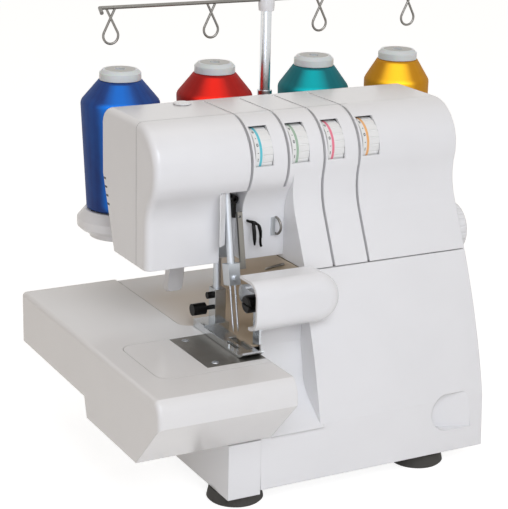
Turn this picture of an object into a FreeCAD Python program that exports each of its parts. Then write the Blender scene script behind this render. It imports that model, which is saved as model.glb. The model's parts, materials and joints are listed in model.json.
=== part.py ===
import FreeCAD, Part
import math
import os

V = FreeCAD.Vector
os.makedirs("parts", exist_ok=True)

# Shared walls and clearances, mm
WALL = 2.5
SEAM = 0.5
RUN = 0.05
FREE = 0.4

# Body envelope, x right, y back, z up
X_RIGHT = 167.5
X_COLUMN = 6.0
X_HEAD = -122.0
X_BASE = -85.4
X_COVER = -55.0
Y_FRONT = -148.0
Y_BASE_BACK = 100.0
Y_PART = -45.0
Z_PAN = 11.0
Z_DECK = 60.0
Z_BED = 125.8
Z_HEAD = 188.3
Z_SPLIT = 185.0
Z_TOP = 310.0
Y_UPPER_BACK = 29.0
Y_COLUMN_BACK = 55.0
Z_LEDGE = 180.0
R_BACK = 15.0
R_EDGE = 6.0

# S shaped front, one convex roll above a hollow
Y_ROLL = -45.0
R_ROLL = 37.5
R_HOLLOW_COLUMN = 55.0
A_TURN_COLUMN = 13.9
A_FLARE = 25.0
R_HOLLOW_HEAD = 40.0
A_TURN_HEAD = 38.7

# Thread slots and tension dials
SLOT_X0 = -34.5
SLOT_PITCH = 34.4
SLOT_W = 2.4
SLOT_DEPTH = 9.0
SLOT_TOP_Y = -48.0
Z_SLOT_SHORT = 251.0
RIB = 2.0
DIAL_W = 16.0
DIAL_R = 20.0
DIAL_PROUD = 1.0
WINDOW_LOW = 38.0
WINDOW_HIGH = 7.0
DIAL_GRIPS = 20
GRIP_R = 0.9
AXLE_R = 3.0

# Bed, arm and table
X_TABLE = -167.5
X_TABLE_END = -46.4
Y_NOSE = -189.5
Z_NOSE = 104.0
Y_TABLE_BACK = 104.5
Z_TABLE_REAR = 79.0
X_ARM = -145.0
Y_ARM_FRONT = -145.0
Y_ARM_BACK = -62.0
Z_ARM = 86.0
R_ARM = 12.0
X_BED = -76.0
Y_BED = -40.0
PLATE_X0 = -99.3
PLATE_X1 = -46.4
PLATE_Y0 = -135.5
PLATE_Y1 = -63.3
PLATE_T = 2.4
PLATE_SCREW_X = -88.5
PLATE_SCREW_R = 3.2
PLATE_SCREW_IN = 8.0

# Needle, presser and knife
NEEDLE_X = -50.0
NEEDLE_Y = -90.0
A_NEEDLE = 11.0
NEEDLE_STEP = 2.2
NEEDLE_R = 0.8
BAR_R = 3.2
PRESS_X = -47.0
PRESS_Y = -46.5
PRESS_R = 3.4
FOOT_X0 = -67.0
FOOT_X1 = -46.9
FOOT_Y0 = -124.0
FOOT_T = 2.0
FOOT_GAP = 0.3
KNIFE_Y = -88.0
KNIFE_Z = 166.0
KNIFE_R = 4.0
BLADE_X = -43.7
BLADE_T = 2.0
KNOB_R = 7.5
POCKET_X0 = -58.0
POCKET_SLANT = 7.0
POCKET_Z = 251.0
POCKET_Y = -54.0
LIFT_Y = -12.0
LIFT_Z = 205.0
LIFT_X = -77.0

# Front cover
COVER_T = 2.6
SEAM_COVER = 0.9
X_APRON = -45.5
Z_APRON = 96.0
HINGE_Y = -141.5
HINGE_Z = 20.0
HINGE_R = 2.0
KNUCKLE_R = 3.2
KNUCKLE_W = 8.0
X_PANEL = 2.0
X_CHUTE = -36.5
X_BULGE0 = -57.0
X_BULGE1 = 25.0

# Drive
WHEEL_Y = -68.0
WHEEL_Z = 194.0
WHEEL_R = 24.0
WHEEL_W = 12.0
WHEEL_ROUND = 5.0
WHEEL_GRIPS = 24
SHAFT_R = 5.0
PULLEY_R = 22.0
MOTOR_R = 30.0
MOTOR_Y = 5.0
MOTOR_Z = 62.0
MOTOR_PULLEY_R = 8.0
X_PULLEY = 139.0
PULLEY_W = 12.0
BELT_T = 3.0

# Spool stand and cones
STAND_X = 58.0
STAND_Y = 70.0
CONE_X = (-144.0, -51.5, 51.5, 144.0)
CONE_R = (35.0, 34.5, 33.0, 31.0)
HOLDER_R = 39.0
Z_HOLDER = 189.0
Z_CONE = 208.0
Z_SHOULDER = 303.0
Z_CAP = 331.0
CAP_H = 9.0
CAP_R = 18.5
ROD_R = 5.0
Z_HUB = 375.0
Z_GUIDE = 385.0
GUIDE_HALF = 163.0
LOOP_IN = 10.0
LOOP_X = (LOOP_IN - GUIDE_HALF, -56.0, 56.0, GUIDE_HALF - LOOP_IN)
STAND_HUB_R = 11.5
FOOT_PAD_R = 24.0
PIN_R = 4.0

NODES = {}


def box(x0, x1, y0, y1, z0, z1):
    return Part.makeBox(x1 - x0, y1 - y0, z1 - z0, V(x0, y0, z0))


def rod(radius, start, end):
    """Round bar between two points."""
    a = V(*start)
    d = V(*end) - a
    return Part.makeCylinder(radius, d.Length, a, d)


def outline(x, start, *steps):
    """Closed face in the plane x from points (y, z); a pair of points in a step is an arc."""
    edges = []
    here = start
    for step in steps + ((start,),):
        end = step[-1]
        a = V(x, *here)
        b = V(x, *end)
        if len(step) == 2:
            edges.append(Part.Arc(a, V(x, *step[0]), b).toShape())
        elif (b - a).Length > 1e-6:
            edges.append(Part.LineSegment(a, b).toShape())
        here = end
    return Part.Face(Part.Wire(edges))


def sweep_x(face, length):
    return face.extrude(V(length, 0, 0))


def prism(points, x0, x1):
    return sweep_x(outline(x0, points[0], *[(p,) for p in points[1:]]), x1 - x0)


def lathe(profile, x, y):
    """Solid of revolution about the upright axis at x, y from (radius, z) points."""
    points = [V(x + r, y, z) for r, z in profile]
    face = Part.Face(Part.makePolygon(points + points[:1]))
    return face.revolve(V(x, y, 0), V(0, 0, 1), 360)


def fuse(*shapes):
    return shapes[0].multiFuse(list(shapes[1:])).removeSplitter()


def pipe(points, radius, closed=False):
    """Round wire through the points."""
    curve = Part.BSplineCurve()
    curve.interpolate([V(*p) for p in points], PeriodicFlag=closed)
    path = Part.Wire([curve.toShape()])
    at = curve.value(curve.FirstParameter)
    way = curve.tangent(curve.FirstParameter)[0]
    ring = Part.Wire([Part.makeCircle(radius, at, way)])
    return path.makePipeShell([ring], True, False)


def polar(centre, radius, degrees):
    a = math.radians(degrees)
    return (centre[0] + radius * math.cos(a), centre[1] + radius * math.sin(a))


def s_face(x, hollow, turn, flare, inset, z_low):
    """Front profile of the upper cover, moved inward by inset."""
    c1 = (Y_ROLL, Z_TOP - R_ROLL)
    c2 = polar(c1, R_ROLL + hollow, 180 + turn)
    r1 = R_ROLL - inset
    r2 = hollow + inset
    top = (Y_ROLL, c1[1] + r1)
    meet = polar(c1, r1, 180 + turn)
    low = polar(c2, r2, -flare)
    run = (low[1] - z_low) * math.tan(math.radians(flare))
    return outline(
        x,
        (Y_PART, top[1]),
        (top,),
        (polar(c1, r1, 135 + turn / 2), meet),
        (polar(c2, r2, (turn - flare) / 2), low),
        ((low[0] - run, z_low),),
        ((Y_PART, z_low),),
    )


def head_face(x, inset, z_low):
    return s_face(x, R_HOLLOW_HEAD, A_TURN_HEAD, 0.0, inset, z_low)


def column_face(x, inset, z_low):
    return s_face(x, R_HOLLOW_COLUMN, A_TURN_COLUMN, A_FLARE, inset, z_low)


def on_needle(t, dy=0.0):
    """Point t up the inclined needle axis from the needle plate."""
    a = math.radians(A_NEEDLE)
    return (NEEDLE_X, NEEDLE_Y + t * math.sin(a) + dy, Z_BED + t * math.cos(a))


SLOTS = [SLOT_X0 + i * SLOT_PITCH for i in range(4)]
C_ROLL = (Y_ROLL, Z_TOP - R_ROLL)
Z_WINDOW_LOW = Z_TOP - WINDOW_LOW
Z_WINDOW_HIGH = Z_TOP - WINDOW_HIGH
A_WINDOW_LOW = 180 + math.degrees(math.asin((C_ROLL[1] - Z_WINDOW_LOW) / R_ROLL))
A_WINDOW_HIGH = 180 - math.degrees(math.asin((Z_WINDOW_HIGH - C_ROLL[1]) / R_ROLL))
DIAL_C = polar(C_ROLL, R_ROLL + DIAL_PROUD - DIAL_R, (A_WINDOW_LOW + A_WINDOW_HIGH) / 2)

# Base pan: open tray, its front left open behind the hinged cover
X_LUGS = (-40.0, 60.0, 140.0)
pan = box(X_BASE, X_RIGHT, Y_FRONT, Y_BASE_BACK, Z_PAN, Z_DECK - SEAM)
PAN_T = 3.0
hollow = box(X_BASE + PAN_T, X_RIGHT - PAN_T, Y_FRONT + PAN_T, Y_BASE_BACK - PAN_T, Z_PAN + PAN_T, Z_DECK)
SWEEP = HINGE_Y + 9.5
front_low = box(X_COVER - SEAM, X_RIGHT, Y_FRONT, SWEEP, Z_PAN, HINGE_Z + 10)
front_high = box(X_COVER - SEAM, X_RIGHT, Y_FRONT, HINGE_Y, HINGE_Z + 10, Z_DECK)
pan = pan.cut(hollow).cut(front_low).cut(front_high)
for x in X_LUGS:
    lug = rod(KNUCKLE_R, (x, HINGE_Y, HINGE_Z), (x + KNUCKLE_W, HINGE_Y, HINGE_Z))
    web = box(x, x + KNUCKLE_W, HINGE_Y, SWEEP + 4, HINGE_Z - KNUCKLE_R, HINGE_Z + KNUCKLE_R)
    post = box(x, x + KNUCKLE_W, SWEEP, SWEEP + 5, Z_PAN, HINGE_Z + KNUCKLE_R)
    pan = pan.fuse(fuse(lug, web, post))
pan = pan.cut(rod(HINGE_R + RUN, (X_LUGS[0] - 1, HINGE_Y, HINGE_Z), (X_RIGHT, HINGE_Y, HINGE_Z)))
INLET = (10.0, 26.0, 28.0, 46.0)
ROCKER = (40.0, 54.0, 28.0, 48.0)
for y0, y1, z0, z1 in (INLET, ROCKER):
    pan = pan.cut(box(X_RIGHT - 5, X_RIGHT + 1, y0 - FREE, y1 + FREE, z0 - FREE, z1 + FREE))
NODES["base_pan"] = pan.removeSplitter()

FEET = [(x, y) for x in (-65.0, 116.0) for y in (-121.0, 75.0)]
feet = [
    lathe(((0, 0), (FOOT_PAD_R - 1.5, 0), (FOOT_PAD_R, 1.5), (FOOT_PAD_R - 2, Z_PAN), (0, Z_PAN)), x, y)
    for x, y in FEET
]
NODES["rubber_feet"] = Part.makeCompound(feet)

# Rear housing: column, bed behind the arm and back half of the head
z_round = Z_TOP - R_BACK
y_round = Y_UPPER_BACK - R_BACK


def head_back(x, t, low):
    return outline(
        x,
        (Y_PART, Z_TOP - t),
        ((y_round, Z_TOP - t),),
        (polar((y_round, z_round), R_BACK - t, 45), (Y_UPPER_BACK - t, z_round)),
        ((Y_UPPER_BACK - t, 251.0),),
        ((6.0 - t, low),),
        ((Y_PART, low),),
    )


def column_back(x, t, low):
    return outline(
        x,
        (Y_PART, Z_TOP - t),
        ((y_round, Z_TOP - t),),
        (polar((y_round, z_round), R_BACK - t, 45), (Y_UPPER_BACK - t, z_round)),
        ((Y_UPPER_BACK - t, Z_LEDGE - t),),
        ((Y_COLUMN_BACK - t, Z_LEDGE - t),),
        ((Y_COLUMN_BACK - t, low),),
        ((Y_PART, low),),
    )


head_rear = sweep_x(head_back(X_HEAD, 0, Z_HEAD), X_COLUMN - X_HEAD)
head_rear = head_rear.makeFillet(
    R_EDGE,
    [e for e in head_rear.Edges
     if e.BoundBox.XMax < X_HEAD + 0.1 and e.BoundBox.ZMax > Z_HEAD + 1 and e.BoundBox.YMax > Y_PART + 1],
)
bed = box(X_BED, X_RIGHT, Y_BED, Y_BASE_BACK, Z_DECK, Z_BED)
bed = bed.makeFillet(R_ARM, [e for e in bed.Edges
                             if e.BoundBox.XMax < X_BED + 0.1 and e.BoundBox.YMax < Y_BED + 0.1
                             and e.Length < Z_BED - Z_DECK + 1 and e.BoundBox.ZLength > 10])
column = sweep_x(column_back(X_COLUMN, 0, Z_DECK), X_RIGHT - X_COLUMN)
deck = box(X_TABLE_END + SEAM, X_COLUMN + WALL, -103.0, Y_BED + 1, Z_BED - WALL, Z_BED)
cheek = prism(((Y_PART, Z_BED - WALL), (Y_PART, 184.0), (-100.5, 184.0), (-103.0, 150.0), (-103.0, Z_BED - WALL)),
              X_COLUMN, X_COLUMN + WALL)
right_wall = prism(((Y_PART, Z_DECK), (Y_PART, 184.0), (-99.5, 184.0), (-125.0, 125.0), (-139.0, 66.0),
                    (-139.0, Z_DECK)), X_RIGHT - WALL, X_RIGHT)
rear = fuse(head_rear, bed, column, deck, cheek, right_wall)
inner_head = sweep_x(head_back(X_HEAD + WALL, WALL, Z_HEAD + WALL), X_COLUMN - X_HEAD)
inner_head = inner_head.fuse(box(X_HEAD + WALL, X_COLUMN, Y_PART - 1, Y_PART + 1, Z_HEAD + WALL, Z_TOP - WALL))
inner_column = sweep_x(column_back(X_COLUMN + WALL, WALL, Z_DECK - 1), X_RIGHT - X_COLUMN - 2 * WALL)
inner_column = inner_column.cut(box(X_COLUMN, X_RIGHT, Y_BED + 100, Y_BASE_BACK, 0, Z_TOP))
inner_bed = box(X_BED + WALL, X_RIGHT - WALL, Y_BED + WALL, Y_BASE_BACK - WALL, Z_DECK - 1, Z_BED - WALL)
join = box(X_COLUMN - 1, X_COLUMN + WALL + 1, Y_PART - 1, 20.0, Z_HEAD + WALL, Z_TOP - WALL)
rear = rear.cut(inner_head).cut(inner_column).cut(inner_bed).cut(join)
rear = rear.cut(box(X_COLUMN + WALL, X_RIGHT - WALL, Y_PART - 60, Y_BED + WALL + 1, Z_DECK - 1, Z_SPLIT))
rear = rear.cut(box(X_BED + 30, X_COLUMN + WALL + 1, Y_BED - 1, Y_BED + WALL + 1, Z_DECK - 1, Z_BED - WALL))
rear = rear.cut(rod(KNIFE_R + 1, (X_COLUMN - 1, KNIFE_Y, KNIFE_Z), (X_COLUMN + WALL + 1, KNIFE_Y, KNIFE_Z)))
press_hole = rod(PRESS_R + 1.5, (PRESS_X, PRESS_Y, Z_HEAD - 5), (PRESS_X, PRESS_Y, Z_HEAD + 10))
lift_slot = box(LIFT_X - 3.5, LIFT_X + 17.5, LIFT_Y - 9, LIFT_Y + 20, Z_HEAD - 1, Z_HEAD + 6)
LAMP = (-112.0, -86.0, -38.0, -14.0)
lamp_hole = box(LAMP[0], LAMP[1], LAMP[2], LAMP[3], Z_HEAD - 1, Z_HEAD + WALL + 1)
KNOBS = (("stitch_dial", 0.0, 150.0, 15.0), ("differential_dial", 34.0, 150.0, 13.0))
rear = rear.cut(press_hole).cut(lift_slot).cut(lamp_hole)
for name, y, z, r in KNOBS:
    rear = rear.cut(rod(AXLE_R + RUN, (X_RIGHT - 9, y, z), (X_RIGHT + 1, y, z)))
SCREW_TOP = (-57.0, 5.0)
rear = rear.cut(rod(AXLE_R + RUN, (*SCREW_TOP, Z_TOP - 9), (*SCREW_TOP, Z_TOP + 1)))
for x in SLOTS:
    groove = box(x - SLOT_W / 2, x + SLOT_W / 2, Y_PART - 1, 10.0, Z_TOP - 0.8, Z_TOP + 1)
    rear = rear.cut(groove)
NODES["rear_housing"] = rear.removeSplitter()

# Front half of the upper shell with slots, dial windows and needle pocket
head = sweep_x(head_face(X_HEAD, 0, Z_HEAD), X_COLUMN - X_HEAD)
head = head.makeFillet(
    R_EDGE,
    [e for e in head.Edges
     if e.BoundBox.XMax < X_HEAD + 0.1 and e.BoundBox.ZMax > Z_HEAD + 1 and e.BoundBox.YMin < Y_PART - 1],
)
shell = fuse(head, sweep_x(column_face(X_COLUMN, 0, Z_SPLIT), X_RIGHT - X_COLUMN))
cavity = fuse(
    sweep_x(head_face(X_HEAD + WALL, WALL, Z_HEAD + WALL), X_COLUMN - X_HEAD),
    sweep_x(column_face(X_COLUMN + WALL, WALL, Z_SPLIT - 1), X_RIGHT - X_COLUMN - 2 * WALL),
)
shell = shell.cut(cavity)
liner = box(POCKET_X0 - POCKET_SLANT - WALL, SLOTS[0] + WALL, -75.0, POCKET_Y + 2.0, Z_HEAD, POCKET_Z + WALL)
shell = shell.fuse(liner.common(sweep_x(head_face(X_HEAD, 1.0, Z_HEAD), X_COLUMN - X_HEAD)))
for i, x in enumerate(SLOTS):
    face = head_face if x + RIB + SLOT_W < X_COLUMN else column_face
    low = Z_SLOT_SHORT if i < 2 else Z_SPLIT
    x0 = x - SLOT_W / 2
    x1 = x + SLOT_W / 2
    reach = box(x0 - RIB, x1 + RIB, -150.0, SLOT_TOP_Y + 1, low - RIB, Z_TOP)
    rib = sweep_x(face(x0 - RIB, WALL / 2, Z_SPLIT), SLOT_W + 2 * RIB)
    rib = rib.cut(sweep_x(face(x0 - RIB, SLOT_DEPTH + RIB, Z_SPLIT - 1), SLOT_W + 2 * RIB))
    shell = shell.fuse(rib.common(reach))
    slot = sweep_x(face(x0, -3.0, Z_SPLIT - 3), SLOT_W)
    slot = slot.cut(sweep_x(face(x0, SLOT_DEPTH, Z_SPLIT - 4), SLOT_W))
    shell = shell.cut(slot.common(box(x0, x1, -150.0, SLOT_TOP_Y, low - 3 * (i > 1), Z_TOP + 5)))
    groove = box(x0, x1, SLOT_TOP_Y - 1, Y_PART + 1, Z_TOP - 0.8, Z_TOP + 1)
    window = box(x1 + RIB, x1 + RIB + DIAL_W + 2 * FREE, -95.0, Y_PART - 3, Z_WINDOW_LOW, Z_WINDOW_HIGH)
    shell = shell.cut(groove).cut(window)
Y_MOUTH = -90.0
slant = [V(POCKET_X0 - POCKET_SLANT, Y_MOUTH, Z_HEAD - 1), V(POCKET_X0 + POCKET_SLANT, POCKET_Y, Z_HEAD - 1),
         V(SLOTS[0], POCKET_Y, Z_HEAD - 1), V(SLOTS[0], Y_MOUTH, Z_HEAD - 1)]
pocket = Part.Face(Part.makePolygon(slant + slant[:1])).extrude(V(0, 0, POCKET_Z - Z_HEAD + 1))
shell = shell.cut(pocket)
bar_way = rod(BAR_R + 1.2, on_needle(100), on_needle(150))
wheel_way = rod(SHAFT_R + 1, (X_RIGHT - 5, WHEEL_Y, WHEEL_Z), (X_RIGHT + 1, WHEEL_Y, WHEEL_Z))
shell = shell.cut(bar_way).cut(press_hole).cut(wheel_way)
NODES["upper_cover"] = shell.removeSplitter()

# Machine frame with bushes, dial axle, looper shafts and lifter pin
Y_WEB = -38.0
WEB = 6.0
X_FRAME1 = 130.0
web = box(10.0, X_FRAME1, Y_WEB, Y_WEB + WEB, Z_PAN + PAN_T, 292.0)
arm_beam = box(-75.0, 12.0, Y_WEB, Y_WEB + WEB, 258.0, 292.0)
hanger = box(PRESS_X - 8, PRESS_X + 8, Y_WEB, Y_WEB + WEB, 193.0, 262.0)
guide_low = box(PRESS_X - 8, PRESS_X + 8, POCKET_Y + 2.2, Y_WEB + 1, 193.0, 203.0)
guide_high = box(PRESS_X - 8, PRESS_X + 8, POCKET_Y + 2.2, Y_WEB + 1, 226.0, 238.0)
needle_block = box(NEEDLE_X - 8, NEEDLE_X + 8, -72.0, Y_WEB + 1, 258.0, 276.0)
frame = fuse(web, arm_beam, hanger, guide_low, guide_high, needle_block)
frame = frame.cut(rod(BAR_R + RUN, on_needle(60), on_needle(190)))
frame = frame.cut(rod(PRESS_R + RUN, (PRESS_X, PRESS_Y, 180.0), (PRESS_X, PRESS_Y, 250.0)))
axle = rod(AXLE_R, (SLOTS[0] - 4, *DIAL_C), (SLOTS[3] + 28, *DIAL_C))
X_CHEEKS = [x + SLOT_W / 2 + RIB + DIAL_W + 3 for x in SLOTS]
for x in X_CHEEKS:
    frame = frame.fuse(box(x, x + 3, DIAL_C[0] - 6, Y_WEB + 1, DIAL_C[1] - 6, DIAL_C[1] + 6))
lift_arm = box(PRESS_X - 8, PRESS_X - 4, Y_WEB + 1, LIFT_Y + 6, LIFT_Z - 6, LIFT_Z + 6)
lift_pin = rod(AXLE_R, (PRESS_X - 4, LIFT_Y, LIFT_Z), (LIFT_X - 1, LIFT_Y, LIFT_Z))
knife_bush = box(12.0, 26.0, KNIFE_Y - 7, Y_WEB + 1, KNIFE_Z - 7, KNIFE_Z + 7)
wheel_bush = box(116.0, X_FRAME1, WHEEL_Y - 9, Y_WEB + 1, WHEEL_Z - 9, WHEEL_Z + 9)
LOOPERS = (("lower_looper", 22.0, 42.0, -93.0), ("upper_looper", 44.0, 76.0, -81.0))
frame = fuse(frame, axle, lift_arm, lift_pin, knife_bush, wheel_bush)
for name, x, z, y in LOOPERS:
    frame = frame.fuse(rod(AXLE_R + 1, (x, Y_WEB + 1, z), (x, y - 6, z)))
frame = frame.cut(rod(KNIFE_R + RUN, (5.0, KNIFE_Y, KNIFE_Z), (30.0, KNIFE_Y, KNIFE_Z)))
frame = frame.cut(rod(SHAFT_R + RUN, (110.0, WHEEL_Y, WHEEL_Z), (140.0, WHEEL_Y, WHEEL_Z)))
NODES["machine_frame"] = frame.removeSplitter()

for name, x, z, y in LOOPERS:
    hub = rod(8.0, (x, y - 4, z), (x, y + 4, z))
    tip_z = Z_BED - 20 if name == "lower_looper" else Z_BED - 16
    elbow = V(x - 34, y, (z + tip_z) / 2 + 12)
    arm = pipe(((x, y, z), (elbow.x + 14, y, elbow.z - 8), (elbow.x, y, tip_z - 10), (elbow.x - 22, y, tip_z)), 2.6)
    arm = fuse(hub, arm)
    NODES[name] = arm.cut(rod(AXLE_R + 1 + RUN, (x, y - 9, z), (x, y + 9, z)))

# Free arm with leg, needle plate, feed dogs and lower knife
arm = box(X_ARM, X_TABLE_END, Y_ARM_FRONT, Y_ARM_BACK, Z_ARM, Z_BED)
arm = arm.makeFillet(R_ARM, [e for e in arm.Edges if e.BoundBox.XMax < X_ARM + 0.1 and e.BoundBox.ZLength > 10])
arm = arm.cut(box(X_ARM + 4, X_TABLE_END + 1, Y_ARM_FRONT + 4, Y_ARM_BACK - 4, Z_ARM + 3, Z_BED - 4))
Y_LEG = SWEEP + 1
leg = box(X_BASE + PAN_T + 0.5, X_TABLE_END - 2, Y_LEG, Y_ARM_BACK, Z_PAN + PAN_T, Z_ARM + 1)
leg = leg.cut(box(X_BASE + PAN_T + 4, X_TABLE_END, Y_LEG + 4, Y_ARM_BACK - 4, Z_PAN, Z_ARM))
arm = arm.fuse(leg)
arm = arm.cut(box(PLATE_X0 - FREE, X_TABLE_END + 1, PLATE_Y0 - FREE, PLATE_Y1 + FREE, Z_BED - PLATE_T, Z_BED + 1))
arm = arm.cut(box(PLATE_X0 + 18, X_TABLE_END + 1, PLATE_Y0 + 8, PLATE_Y1 - 6, Z_BED - 10, Z_BED))
plate = box(PLATE_X0, PLATE_X1, PLATE_Y0, PLATE_Y1, Z_BED - PLATE_T, Z_BED)
FEED_X = (-64.0, -58.0)
FEED_Y = (-104.0, -76.0)
FEED_W = 3.0
FEED_RUN = 3.0
for x in FEED_X:
    plate = plate.cut(box(x - FREE, x + FEED_W + FREE, FEED_Y[0] - FEED_RUN - FREE, FEED_Y[1] + FEED_RUN + FREE,
                          Z_BED - 5, Z_BED + 1))
needle_slot = box(NEEDLE_X - 4.5, PLATE_X1 + 1, NEEDLE_Y - 3.5, NEEDLE_Y + 3.5, Z_BED - 5, Z_BED + 1)
screw_at = [(PLATE_SCREW_X, PLATE_Y0 + PLATE_SCREW_IN), (PLATE_SCREW_X, PLATE_Y1 - PLATE_SCREW_IN)]
screws = []
for x, y in screw_at:
    plate = plate.cut(rod(PLATE_SCREW_R, (x, y, Z_BED - PLATE_T - 1), (x, y, Z_BED + 1)))
    head = lathe(((0, Z_BED - PLATE_T), (PLATE_SCREW_R - RUN, Z_BED - PLATE_T), (PLATE_SCREW_R - RUN, Z_BED),
                  (PLATE_SCREW_R - 1, Z_BED + 0.6), (0, Z_BED + 0.6)), x, y)
    screws.append(head.cut(box(x - 5, x + 5, y - 0.5, y + 0.5, Z_BED - 0.4, Z_BED + 2)))
NODES["free_arm"] = arm.removeSplitter()
NODES["needle_plate"] = plate.cut(needle_slot)
NODES["plate_screws"] = Part.makeCompound(screws)
feed = box(FEED_X[0], FEED_X[1] + FEED_W, FEED_Y[0], FEED_Y[1], Z_BED - 14, Z_BED - 8)
for x in FEED_X:
    bar = box(x, x + FEED_W, FEED_Y[0], FEED_Y[1], Z_BED - 9, Z_BED - 0.5)
    for k in range(12):
        y = FEED_Y[0] + 1 + k * 2.3
        bar = bar.cut(prism(((y, Z_BED), (y + 1.8, Z_BED), (y + 1.8, Z_BED - 1.8)), x - 1, x + FEED_W + 1))
    feed = feed.fuse(bar)
NODES["feed_dogs"] = feed.removeSplitter()
knife_low = box(X_TABLE_END, X_TABLE_END + 2, -118.0, -103.5, Z_BED - 26, Z_BED - 0.4)
NODES["lower_knife"] = knife_low

# Extension table: hollow C round the arm, open below
TABLE = (
    (Y_TABLE_BACK, Z_BED), ((Y_NOSE + 8.5, Z_BED),), ((Y_NOSE + 2.5, Z_BED - 6.3), (Y_NOSE + 0.4, Z_BED - 15)),
    ((Y_NOSE, Z_NOSE),), ((Y_FRONT + 0.5, Z_DECK + SEAM),), ((-46.0, Z_DECK + SEAM),), ((-41.0, Z_TABLE_REAR - 1),),
    ((Y_TABLE_BACK, Z_TABLE_REAR),),
)
table_face = outline(X_TABLE, *TABLE)
table = sweep_x(table_face, X_TABLE_END - X_TABLE)
table = table.makeFillet(4.0, [e for e in table.Edges
                               if e.BoundBox.XMax < X_TABLE + 0.1 and e.BoundBox.ZMin > Z_BED - 16])
inside = table_face.makeOffset2D(-WALL)
inside = sweep_x(inside, X_TABLE_END - X_TABLE - 2 * WALL)
inside.translate(V(WALL, 0, 0))
X_T = X_TABLE_END + 1


def corner_block(x, y0, y1, grow):
    block = box(x - grow, X_T, y0 - grow, y1 + grow, 0.0, Z_BED + 5)
    return block.makeFillet(R_ARM + grow, [e for e in block.Edges
                                           if e.BoundBox.XMax < x - grow + 0.1 and e.BoundBox.ZLength > 10])


arm_way = corner_block(X_ARM, Y_ARM_FRONT, Y_ARM_BACK, FREE)
arm_wall = corner_block(X_ARM, Y_ARM_FRONT, Y_ARM_BACK, FREE + WALL)
bed_way = corner_block(X_BED, Y_BED, Y_TABLE_BACK + 60, FREE)
bed_wall = corner_block(X_BED, Y_BED, Y_TABLE_BACK + 60, FREE + WALL)
below = fuse(
    box(X_TABLE + WALL, X_TABLE_END - WALL, Y_FRONT + 4, -46.0 - WALL, Z_DECK - 1, Z_DECK + 8),
    box(X_TABLE + WALL, X_TABLE_END - WALL, -36.0, Y_TABLE_BACK - WALL, Z_TABLE_REAR - 5, Z_TABLE_REAR + 6),
)
table = table.cut(fuse(inside, below).cut(arm_wall).cut(bed_wall)).cut(arm_way).cut(bed_way)
NODES["extension_table"] = table.removeSplitter()

# Front cover with chute, knife bulge, finger pull and hinge knuckles
F0 = (Y_FRONT, HINGE_Z - 5.4)
F1 = (Y_FRONT + 3, 62.0)
FM = (-128.0, 125.0)
F2 = (-105.0, Z_SPLIT - SEAM_COVER)


def skin(x0, x1, t):
    back = [(p[0] + t, p[1]) for p in (F0, F1, FM, F2)]
    face = outline(x0, F0, (F1,), (FM, F2), (back[3],), (back[2], back[1]), (back[0],))
    return sweep_x(face, x1 - x0)


panel = skin(X_PANEL, X_RIGHT, COVER_T)
strip = skin(X_COVER, X_PANEL + 1, COVER_T).common(box(X_COVER, X_PANEL + 1, -200.0, 0.0, 0.0, Z_DECK))
CHUTE = ((Y_FRONT + 0.2, Z_DECK), (-124.0, 79.0), (-116.0, 88.0), (-112.5, 101.0), (-107.5, 125.0), (-108.5, 150.0))
back = [(p[0] + COVER_T, p[1]) for p in CHUTE]
chute = outline(X_CHUTE, CHUTE[0], (CHUTE[1],), (CHUTE[2], CHUTE[3]), (CHUTE[4],), (CHUTE[5],), (back[5],),
                (back[4],), (back[3],), (back[2], back[1]), (back[0],))
apron = chute.copy()
apron.translate(V(X_APRON - X_CHUTE, 0, 0))
apron = sweep_x(apron, X_CHUTE - X_APRON + 1).common(box(X_APRON, X_CHUTE + 1, Y_FRONT, 0.0, 0.0, Z_APRON))
chute = sweep_x(chute, X_PANEL + COVER_T - X_CHUTE).fuse(apron)
side = skin(X_PANEL, X_PANEL + COVER_T, 60.0)
side_face = outline(X_PANEL, CHUTE[0], (CHUTE[1],), (CHUTE[2], CHUTE[3]), (CHUTE[4],), (CHUTE[5],), ((-160.0, 150.0),),
                    ((-160.0, Z_DECK),))
side = side.common(sweep_x(side_face, COVER_T))
BULGE_Z = (147.5, 189.5)
BULGE_Y = (-138.0, -107.0)
R_BULGE = 13.0


def bulge_solid(inset):
    """Knife bulge: level bar with a half round right end and a rolled front edge."""
    r = (BULGE_Z[1] - BULGE_Z[0]) / 2 - inset
    x = X_BULGE1 - r - inset
    z = (BULGE_Z[1] + BULGE_Z[0]) / 2
    y0 = BULGE_Y[0] + inset
    bar = fuse(box(X_BULGE0, x, y0, BULGE_Y[1], z - r, z + r), rod(r, (x, y0, z), (x, BULGE_Y[1], z)))
    rim = [e for e in bar.Edges if e.BoundBox.YMax < y0 + 0.1 and e.BoundBox.XLength > 0.1]
    return bar.makeFillet(R_BULGE - inset, rim)


bulge = bulge_solid(0.0)
hole = bulge_solid(COVER_T)
hole = hole.fuse(hole.copy().translated(V(-3, 0, 0)))
open_back = box(X_BULGE0 - 3, X_PANEL, -121.0, -100.0, BULGE_Z[0] + COVER_T, BULGE_Z[1] - COVER_T)
cover = fuse(panel, strip, chute, side, bulge).cut(fuse(hole, open_back))
cover = cover.cut(box(X_BULGE0 - 1, X_CHUTE, -123.0, -100.0, 146.0, 152.0))
PULL = (134.5, 50.5, 20.5, 16.5)


def dish(grow):
    """Round on the left, square on the right."""
    x, z, w, h = PULL
    y = Y_FRONT - 3
    w += grow
    h += grow
    a = V(x - w + h, y, z + h)
    b = V(x - w + h, y, z - h)
    left = Part.Arc(a, V(x - w, y, z), b).toShape()
    rest = [b, V(x + w, y, z - h), V(x + w, y, z + h), a]
    edges = [Part.LineSegment(p, q).toShape() for p, q in zip(rest, rest[1:])]
    return Part.Face(Part.Wire([left] + edges)).extrude(V(0, 40, 0))


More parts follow.
